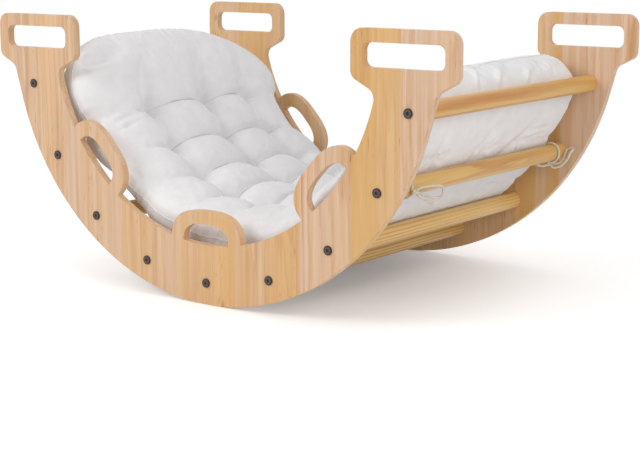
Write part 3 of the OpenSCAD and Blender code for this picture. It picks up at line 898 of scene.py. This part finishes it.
# A negative shrink lets the cover grow.
CLOTH_SETTINGS = {
    "quality": 6, "mass": 0.3, "air_damping": 3.0, "tension_stiffness": 15,
    "compression_stiffness": 15, "shear_stiffness": 5, "bending_stiffness": 0.3,
    "tension_damping": 8, "compression_damping": 8, "shear_damping": 8,
    "vertex_group_mass": "held", "pin_stiffness": 4.0, "use_pressure": True,
    "uniform_pressure_force": 2.5, "shrink_min": -0.04,
}
MOST_MOVE = 0.025
# How firmly a point is held: the rim, any other point, what a seat's crease adds and what the back does.
RIM_HOLD = 0.7
LEAST_HOLD = 0.35
CREASE_HOLD = 0.45
BACK_HOLD = 0.2
THREAD_WIDTH = 0.003


def hold_of(angle, y, rim, seat):
    """How firmly the thread and the filling hold a point of the cover, from 0 to 1."""
    if pinch(angle, y, THREAD_WIDTH) > 0.5:
        return 1.0
    if rim:
        return RIM_HOLD
    row, column = creases(angle, y)
    row *= faded(y, *ROW_FADE)
    column *= faded(angle, *HOLD_END)
    return LEAST_HOLD + (CREASE_HOLD * max(row ** 2, 0.85 * column ** 2) if seat else BACK_HOLD)


def fill_cushion(piece, holds):
    """Blows the cushion up as cloth that the tufts hold, and returns where its points end."""
    group = piece.vertex_groups.new(name="held")
    for index, hold in enumerate(holds):
        group.add([index], hold, "REPLACE")
    cloth = piece.modifiers.new("cloth", "CLOTH")
    for key, value in CLOTH_SETTINGS.items():
        setattr(cloth.settings, key, value)
    cloth.settings.effector_weights.gravity = 0.0
    cloth.collision_settings.use_collision = False
    scene = bpy.context.scene
    cloth.point_cache.frame_start = 1
    cloth.point_cache.frame_end = CLOTH_FRAMES
    for moment in range(1, CLOTH_FRAMES + 1):
        scene.frame_set(moment)
    ready = evaluated(piece)
    shape = ready.to_mesh()
    places = [v.co.copy() for v in shape.vertices]
    ready.to_mesh_clear()
    scene.frame_set(1)
    piece.modifiers.remove(cloth)
    piece.vertex_groups.clear()
    return places


def kept_clear(place):
    """Moves a point of the cushion out of the rungs and away from the panels."""
    least = RUNG_R + SEAT_GAP
    for middle in RUNG_MIDDLES:
        away = Vector((place.x - middle.x, 0, place.z - middle.z))
        if away.length < least:
            away = away.normalized() * least
            place = Vector((middle.x + away.x, place.y, middle.z + away.z))
    most_y = PANEL_IN_Y - PANEL_GAP
    place.y = max(-most_y, min(most_y, place.y))
    return place


# Folds of the cover: the face they are on, how far they rise, their half width, and the angles and
# distances from the middle that they run through. A negative rise is a furrow.
FOLDS = [
    ("seat", -0.021, 0.012, [
        (-76.3, -0.264), (-76.9, -0.257), (-78.2, -0.248), (-78.6, -0.235), (-78.9, -0.219),
        (-79.2, -0.206), (-80.6, -0.192), (-81.6, -0.172),
    ]),
    ("seat", -0.0038, 0.0045, [(-56.5, -0.240), (-58, -0.207), (-60, -0.150)]),
    ("seat", -0.0032, 0.004, [(-53.6, -0.240), (-54.3, -0.215), (-55.5, -0.185)]),
    ("seat", -0.008, 0.016, [(-57, -0.129), (-62, -0.130), (-68, -0.134), (-76, -0.138)]),
    ("seat", -0.008, 0.016, [(-57, 0.020), (-62, 0.018), (-69, 0.010), (-77, 0.004)]),
    ("seat", -0.006, 0.015, [(-57, 0.142), (-62, 0.138), (-68, 0.130), (-75, 0.122)]),
    ("seat", -0.007, 0.006, [(-7, -0.270), (-6.5, -0.252), (-5.5, -0.236)]),
    ("seat", -0.005, 0.006, [(-1, -0.270), (-1.5, -0.254), (-2.5, -0.242)]),
    ("back", 0.0065, 0.0048, [(80.9, -0.006), (79.2, -0.040), (77.2, -0.058)]),
    ("back", 0.0065, 0.0048, [(80.8, 0.078), (78.9, 0.025), (77.2, 0.008)]),
    ("back", 0.0065, 0.0048, [(80.4, 0.168), (78.6, 0.110), (77.0, 0.092)]),
    ("back", -0.0055, 0.005, [(80.9, 0.010), (79.4, -0.024), (77.8, -0.042)]),
    ("back", -0.0055, 0.005, [(80.8, 0.094), (79.1, 0.041), (77.8, 0.024)]),
    ("back", -0.0055, 0.005, [(80.4, 0.184), (78.8, 0.126), (77.6, 0.108)]),
    ("back", -0.003, 0.004, [(79.6, 0.238), (78.9, 0.199), (77.6, 0.186)]),
    ("back", -0.0035, 0.004, [(62.8, 0.150), (63.3, 0.181), (63.2, 0.232)]),
    ("back", -0.0035, 0.004, [(60.9, 0.155), (61.4, 0.190), (61.4, 0.232)]),
    ("back", -0.0030, 0.004, [(59.5, 0.170), (59.9, 0.200), (59.7, 0.232)]),
    ("back", -0.005, 0.011, [(71.5, -0.146), (66.2, -0.163), (62.5, -0.173), (57.0, -0.172)]),
    ("back", -0.006, 0.012, [(67.5, 0.032), (61.4, 0.009), (56.0, -0.020)]),
    ("back", -0.005, 0.011, [(65.5, 0.165), (60.8, 0.126), (56.5, 0.070)]),
    ("back", -0.005, 0.008, [(48.5, -0.084), (44.5, -0.072), (41.4, -0.067), (38.5, -0.070)]),
]
# Lines where pillows meet: how deep and wide the furrow is, how wide the painted shade line in it, how far
# past the last column it runs out, and the angles over which the columns' and rows' lines end.
LINE_DEPTH = 0.0042
LINE_WIDTH = 0.0042
LINE_R = 0.0016
LINE_RUN_OUT = 0.05
COLUMN_LINE_END = (58, 70)
ROW_LINE_END = (64, 70)
# Puckers along the edge seam: height, length, and how far into the cover they reach.
PUCKER = 0.0011
PUCKER_LENGTH = 0.017
PUCKER_REACH = 0.014
# Gathers round a tuft: height, number, and the distance and width of their ring.
GATHER = 0.0012
GATHER_COUNT = 8
GATHER_AT = 0.014
GATHER_WIDTH = 0.009
# Mean shift of the columns of tufts.
COLUMN_MIDDLE = 0.010


def fold_rise(place, line, rise, width):
    """How far a fold along a line lifts the cover at a place of the sheet."""
    least, at = 1.0, 0.0
    count = len(line) - 1
    for number, (a, b) in enumerate(zip(line, line[1:])):
        along = within((place - a).dot(b - a) / (b - a).length_squared)
        away = (place - a.lerp(b, along)).length
        if away < least:
            least, at = away, (number + along) / count
    if least > 3 * width:
        return 0.0
    return rise * bell(least, width) * math.sin(math.pi * min(0.97, max(0.03, at))) ** 0.5


def pucker_rise(u, v):
    """Small gathers round the tufts and puckers along the edge seam."""
    angle = math.degrees(u / SEAM_R)
    row = nearest(angle / TUFT_STEP, TUFT_ROWS)
    column = nearest((v - COLUMN_MIDDLE) / TUFT_COLUMN_Y, 1)
    du = u - along_seam(row * TUFT_STEP)
    dv = v - column * TUFT_COLUMN_Y - column_shift(column * TUFT_COLUMN_Y)
    away, turn = math.hypot(du, dv), math.atan2(dv, du)
    number = 3 * row + column
    rays = math.sin(GATHER_COUNT * turn + 1.9 * number + 0.9 * math.sin(2 * turn + number))
    rise = GATHER * rays * bell(away - GATHER_AT, GATHER_WIDTH)
    last = end_of(angle)[0]
    share = max(-1.0, min(1.0, v / HALF_W))
    to_side = max(0.0, width_at(angle, share) - abs(v)) if abs(angle) < last else 0.0
    to_end = max(0.0, along_seam(last - end_bend(angle, share) - abs(angle)))
    edge, run = (to_side, u) if to_side < to_end else (to_end, v)
    wave = math.sin(2 * math.pi * run / PUCKER_LENGTH + 1.7 * math.sin(run * 61) + (1 if v > 0 else 4))
    return rise + PUCKER * wave * (0.4 + 0.6 * math.sin(run * 37 + 2)) * math.exp(-edge / PUCKER_REACH)


def crease_line(u, v):
    """Height of the seat's furrows, and how far off and how strong the nearest row's painted shade line is.
    """
    angle = math.degrees(u / SEAM_R)
    across = v
    for _ in range(3):
        across = v - column_shift(across)
    row = row_place(angle, across)
    off_row = abs(row - nearest(row, TUFT_ROWS)) * math.radians(TUFT_STEP) * SEAM_R
    off_column = abs(across - nearest(across / TUFT_COLUMN_Y, 1) * TUFT_COLUMN_Y)
    between = abs(math.sin(math.pi * across / TUFT_COLUMN_Y))
    inside = within(1 - (abs(across) - TUFT_COLUMN_Y) / LINE_RUN_OUT)
    depth = (0.3 + 0.7 * between) * inside * bell(off_row, LINE_WIDTH)
    depth += 0.6 * bell(off_column, LINE_WIDTH) * faded(angle, *COLUMN_LINE_END)
    off_line = math.sin(math.pi * row) / math.pi * math.radians(TUFT_STEP) * SEAM_R
    strength = (0.25 + 0.75 * between) * inside * faded(angle, *ROW_LINE_END)
    return -LINE_DEPTH * depth, off_line, strength


def lay_folds(piece):
    """Lays the folds and puckers in the filled cover."""
    mesh = piece.data
    places = {}
    cloth = mesh.uv_layers["cloth"].data
    for loop in mesh.loops:
        places[loop.vertex_index] = cloth[loop.index].uv
    folds = []
    for face, rise, width, line in FOLDS:
        line = [Vector((along_seam(angle), y)) for angle, y in line]
        margin = Vector((3 * width, 3 * width))
        low, high = Vector(map(min, zip(*line))) - margin, Vector(map(max, zip(*line))) + margin
        folds.append((face, rise, width, line, low, high))
    moves, lines_off, crease_shade_levels = [], [], []
    for point in mesh.vertices:
        place = Vector(places[point.index])
        outwards = Vector((point.co.x, 0, point.co.z - CENTRE_Z)).normalized()
        face = "back" if point.normal.dot(outwards) > 0 else "seat"
        rise = pucker_rise(place.x, place.y)
        furrow, off_line, level = crease_line(place.x, place.y)
        if face == "seat":
            rise += furrow
        # How far a point is from a row's line, and how strong the painted shade line is there.
        lines_off.append(off_line)
        crease_shade_levels.append(level if face == "seat" else 0.0)
        for its_face, height, width, line, low, high in folds:
            if its_face == face and low.x < place.x < high.x and low.y < place.y < high.y:
                rise += fold_rise(place, line, height, width)
        moves.append(point.normal * rise)
    for point, move in zip(mesh.vertices, moves):
        point.co += move
    for name, values in (("line_off", lines_off), ("crease_shade_level", crease_shade_levels)):
        mesh.attributes.new(name, "FLOAT", "POINT").data.foreach_set("value", values)


def made_finer(piece):
    """Subdivides a piece's mesh once. Its first points stay the same ones."""
    finer = piece.modifiers.new("finer", "SUBSURF")
    finer.levels = finer.render_levels = 1
    mesh = bpy.data.meshes.new_from_object(evaluated(piece))
    piece.modifiers.remove(finer)
    piece.data = mesh


def line_through(places, closed=False, **settings):
    """A curve of straight parts through places, with its settings."""
    data = bpy.data.curves.new("line", "CURVE")
    data.dimensions = "3D"
    for key, value in settings.items():
        setattr(data, key, value)
    spline = data.splines.new("POLY")
    spline.points.add(len(places) - 1)
    for point, place in zip(spline.points, places):
        point.co = (*place, 1)
    spline.use_cyclic_u = closed
    return data


def mesh_of(data):
    """The mesh of a curve."""
    line = linked("line", data)
    mesh = bpy.data.meshes.new_from_object(evaluated(line))
    bpy.data.objects.remove(line)
    return mesh


SEAM_RIDGE_R = 0.0010


def edge_seam(cushion, rim, material):
    """The sewn ridge that runs round the cushion, where its two faces meet."""
    places = [cushion.data.vertices[number].co for number in rim]
    ridge = line_through(places, closed=True, bevel_depth=SEAM_RIDGE_R, bevel_resolution=2)
    piece = new_piece("cushion_edge_seam", joined([mesh_of(ridge)]), material)
    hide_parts("cushion")


def make_cushion(material, seam_material):
    bm, holds, rim = cushion_start()
    piece = new_piece("tufted_cushion", bm, material)
    for point, place in zip(piece.data.vertices, fill_cushion(piece, holds)):
        move = place - point.co
        if move.length > MOST_MOVE:
            move *= MOST_MOVE / move.length
        point.co = kept_clear(point.co + move)
    made_finer(piece)
    lay_folds(piece)
    shade_smooth(piece)
    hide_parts("cushion")
    edge_seam(piece, rim, seam_material)


# ---- ties ----

# Routes of the bows from the middle of the knot, in millimetres: outwards, towards the back, and up.
FRONT_LOOP = [
    (0.6, 6.1, 1.9), (1.6, 14, 3.2), (2.7, 22, 3.8), (4, 30, 4), (5.3, 38, 3.9), (6.6, 46, 3.5),
    (7.8, 52, 3), (8.8, 57, 2.3), (9.5, 61.7, 1), (10, 65, -2.4), (10.2, 66.3, -7), (10, 65, -11.6),
    (9.4, 61.7, -15), (8.6, 57, -16.3), (7.4, 50, -16.3), (6, 41, -14.6), (4.6, 32, -11.8), (3, 23, -8.6),
    (1.5, 14, -5.6), (0.3, 5.8, -2.9),
]
FRONT_TAIL = [
    (3.2, 2, -5.3), (4.2, 6.5, -8.6), (5, 11, -11.3), (5.7, 15.5, -13.4), (6.4, 20, -15.3),
    (7, 24.5, -17), (7.6, 29, -19), (8.2, 33, -21.3),
]
BACK_LOOP = [
    (5.3, 0.5, -3.7), (9.8, 0.6, -5.3), (15, 0.9, -5), (21, 1.8, -2.6), (27, 3.6, 2.4), (31.8, 6.2, 8.8),
    (34.6, 9, 15.4), (36, 11.8, 22), (37.7, 15.3, 24.9), (37, 19.3, 27.5), (34.1, 22.9, 29),
    (29.7, 25.1, 29), (25.1, 25.2, 27.5), (21.8, 23.2, 24.6), (21, 20.5, 19), (20.1, 17, 12.5),
    (18.3, 13.5, 6.5), (14.6, 10, 2.2), (9.4, 7.2, 0.8), (4.4, 4.9, 0.6),
]
BACK_TAIL = [
    (-1.9, -6, -1.4), (-2.6, -10, -2), (-3.2, -14, -2.2), (-3.8, -18, -2), (-4.4, -22, -1.3),
    (-5, -26, -0.3), (-5.5, -30.5, 0.9), (-6, -35, 2.3),
]
TIE_R = RUNG_R + SEAT_GAP + CORD_D / 2
KNOT_AT = RUNG_R + SEAT_GAP + KNOT_D / 2
TWIST_PITCH = 0.0105
STRAND_R = 0.464 * CORD_D / 2
STRAND_AT = CORD_D / 2 - STRAND_R
# Least radius of the cord, in the furrows between its strands.
FURROW_R = 0.66 * CORD_D / 2
CORD_SIDES = 24
# How far apart the points of a cord's path lie.
PATH_STEP = 0.0009
TIE_STEPS = 90
KNOT_STEPS = 60
# How far to each side a tie's loop starts and ends, in cord diameters.
TIE_SWAY = 0.55
FRAY_COUNT = 9
FRAY_R = 0.00038
FRAY_TURN = 2.4


def smooth_path(route, step):
    """Points about a step apart on the smooth curve through a route."""
    points = [Vector([distance / 1000 for distance in place]) for place in route]
    ends = [2 * points[0] - points[1], *points, 2 * points[-1] - points[-2]]
    path = []
    for before, a, b, after in zip(ends, ends[1:], ends[2:], ends[3:]):
        count = max(1, round((b - a).length / step))
        for k in range(count):
            t = k / count
            path.append(0.5 * (
                2 * a + (b - before) * t + (2 * before - 5 * a + 4 * b - after) * t ** 2
                + (3 * a - before - 3 * b + after) * t ** 3
            ))
    return path + [points[-1]]


def cord_profile():
    """The outline of three twisted strands, as a closed curve."""
    data = bpy.data.curves.new("strand_outline", "CURVE")
    outline = data.splines.new("POLY")
    outline.points.add(CORD_SIDES - 1)
    for k, point in enumerate(outline.points):
        turn = 2 * math.pi * k / CORD_SIDES
        off = (turn + math.pi / 3) % (2 * math.pi / 3) - math.pi / 3
        inside = max(0.0, STRAND_R ** 2 - (STRAND_AT * math.sin(off)) ** 2)
        reach = max(FURROW_R, STRAND_AT * math.cos(off) + math.sqrt(inside))
        point.co = (reach * math.cos(turn), reach * math.sin(turn), 0, 1)
    outline.use_cyclic_u = True
    return linked("strand_outline", data)


def twisted(path, profile):
    """A mesh of twisted strands along a path."""
    data = line_through(
        path, twist_mode="MINIMUM", bevel_mode="OBJECT", bevel_object=profile, use_fill_caps=True
    )
    length = 0.0
    for k, point in enumerate(data.splines[0].points):
        length += (path[k] - path[k - 1]).length if k else 0.0
        point.tilt = 2 * math.pi * length / TWIST_PITCH
    return mesh_of(data)


def joined(meshes):
    bm = bmesh.new()
    for mesh in meshes:
        bm.from_mesh(mesh)
        bpy.data.meshes.remove(mesh)
    bmesh.ops.recalc_face_normals(bm, faces=bm.faces)
    return bm


def knot_path(middle, size):
    """The path of an overhand knot that is pulled tight."""
    turns = [2 * math.pi * k / KNOT_STEPS for k in range(KNOT_STEPS + 1)]
    return [
        middle + size / 3 * Vector((
            math.sin(t) + 2 * math.sin(2 * t),
            math.cos(t) - 2 * math.cos(2 * t),
            -1.6 * math.sin(3 * t),
        ))
        for t in turns
    ]


def corner_name(side, hand):
    return f"{side}_{'right' if hand > 0 else 'left'}"


def make_tie(side, hand, tie_y, knot_angle, profile, material):
    """The loop of a tie round its rung, and its knot. hand is 1 on the right and -1 on the left."""
    rung = arc_point(RUNG_CIRCLE_R, TIED_RUNG_ANGLE, tie_y)
    down = math.radians(90 - TIED_RUNG_ANGLE + knot_angle)
    knot = rung + KNOT_AT * Vector((math.cos(down), 0, -math.sin(down)))
    path = []
    for k in range(TIE_STEPS + 1):
        turn = down + 2 * math.pi * k / TIE_STEPS
        sway = CORD_D * TIE_SWAY * math.cos(math.pi * k / TIE_STEPS)
        path.append(rung + Vector((TIE_R * math.cos(turn), sway, -TIE_R * math.sin(turn))))
    bm = joined([twisted(path, profile), twisted(knot_path(knot, (KNOT_D - CORD_D) / 2), profile)])
    where = corner_name(side, hand)
    if hand < 0:
        bmesh.ops.scale(bm, vec=(-1, 1, 1), verts=bm.verts)
        bmesh.ops.reverse_faces(bm, faces=bm.faces)
    piece = new_piece(f"{where}_knotted_loop", bm, material)
    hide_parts(f"{where}_tie")
    return knot


def frayed_end(name, path, material):
    """Loose strands at the end of a cord."""
    end, along = path[-1], (path[-1] - path[-6]).normalized()
    side = along.orthogonal().normalized()
    meshes = []
    for k in range(FRAY_COUNT):
        out = Quaternion(along, FRAY_TURN * k) @ side
        spread = 0.0006 + 0.0002 * (k % 4)
        reach = 0.0035 + 0.0007 * ((5 * k) % 4)
        strand = [
            end + along * (reach * far - 0.001) + out * (spread + 0.0028 * far * far)
            for far in (0, 0.25, 0.5, 0.75, 1)
        ]
        strand = line_through(strand, bevel_depth=FRAY_R, bevel_resolution=1, use_fill_caps=True)
        meshes.append(mesh_of(strand))
    piece = new_piece(name, joined(meshes), material)
    return piece


def make_bow(side, hand, knot, routes, profile, material):
    """The hanging loop and the loose end of a tie."""
    where = corner_name(side, hand)
    flip = Vector((hand, 1, 1))
    for kind, route in zip(("loop", "end"), routes):
        path = [(knot + place) * flip for place in smooth_path(route, PATH_STEP)]
        bm = joined([twisted(path, profile)])
        piece = new_piece(f"{where}_bow_{kind}", bm, material)
        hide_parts(f"{where}_bow")
        loop = kind == "loop"
        fray = [] if loop else [frayed_end(f"{where}_fray", path, material)]


def make_ties(material):
    profile = cord_profile()
    ties = [
        ("front", FRONT_TIE_Y, FRONT_KNOT_ANGLE, (FRONT_LOOP, FRONT_TAIL)),
        ("back", BACK_TIE_Y, BACK_KNOT_ANGLE, (BACK_LOOP, BACK_TAIL)),
    ]
    for side, tie_y, knot_angle, routes in ties:
        for hand in (1, -1):
            knot = make_tie(side, hand, tie_y, knot_angle, profile, material)
            make_bow(side, hand, knot, routes, profile, material)
    bpy.data.objects.remove(profile)


# ---- floor and world ----

def seen_rays(tree):
    """1 for the rays that a picture shows, and 0 for those that carry light."""
    rays = node(tree, "LightPath")
    seen = maths(tree, "MAXIMUM", rays.outputs["Is Camera Ray"], rays.outputs["Is Glossy Ray"])
    return maths(tree, "MAXIMUM", seen, rays.outputs["Is Transmission Ray"])


def make_floor():
    """A pale floor that takes shadows, glows less under the arch as painted shade, and fades to white."""
    bm = bmesh.new()
    bmesh.ops.create_grid(bm, x_segments=2, y_segments=2, size=FLOOR_SIZE)
    mesh = mesh_from("floor", bm)
    floor = linked("floor", mesh)
    material, tree, shader = new_material("floor")
    set_inputs(tree, shader, {"Base Color": (0.92, 0.92, 0.92, 1), "Roughness": 0.7})
    seen = seen_rays(tree)
    far = node(tree, "VectorMath", {0: object_place(tree)}, operation="LENGTH").outputs["Value"]
    fade = smooth_range(tree, far, *FLOOR_FADE)
    # Less glow near the middle: painted shade deepening the shadow on the floor under the arch.
    level = smooth_range(tree, far, *FLOOR_LIFT_SPAN, FLOOR_LIFT_NEAR, FLOOR_LIFT_FAR)
    lift = node(tree, "Emission", {"Strength": times(tree, seen, level)}).outputs[0]
    near = node(tree, "AddShader", {0: shader.outputs[0], 1: lift}).outputs[0]
    white = node(tree, "Emission", {"Strength": 1.0}).outputs[0]
    both = node(tree, "MixShader", {0: times(tree, fade, seen), 1: near, 2: white})
    tree.links.new(both.outputs[0], tree.nodes["Material Output"].inputs["Surface"])
    mesh.materials.append(material)


def make_world():
    """A white world that shows as white and lights less."""
    world = bpy.data.worlds.new("studio")
    bpy.context.scene.world = world
    world.use_nodes = True
    tree = world.node_tree
    strength = scaled(tree, seen_rays(tree), 1.0 - WORLD_LIGHT, WORLD_LIGHT)
    set_inputs(tree, tree.nodes["Background"], {"Color": (1, 1, 1, 1), "Strength": strength})


# ---- the scene ----

bpy.context.scene.view_settings.view_transform = "Standard"
make_camera()
make_world()
make_floor()
for lamp_name, lamp_values in LAMPS.items():
    add_lamp(lamp_name, *lamp_values)

panel_woods = (("front", FRONT_BOARDS, (0, 0.295, 0)), ("back", BACK_BOARDS, (0, -0.281, 1.3)))
for side, board_list, shift in panel_woods:
    rounded_panel(f"{side}_panel", f"{side}_side", panel_pine(f"{side}_pine", board_list, shift))
for rung_number in range(1, RUNG_COUNT + 1):
    turned_rung(rung_number)
steel = black_steel()
zinc = zinc_steel()
for side in ("front", "back"):
    make_bolts(side, steel)
    dress(f"{side}_inserts", zinc)
make_cushion(
    cotton("cushion_cotton", (0.84, 0.83, 0.84), (0.90, 0.89, 0.90), 0.0008, 0.25),
    spun_cotton("seam_cotton", (0.78, 0.77, 0.78), (0.88, 0.87, 0.88)),
)
make_ties(spun_cotton("tie_cotton", (0.66, 0.59, 0.48), (0.90, 0.84, 0.72)))
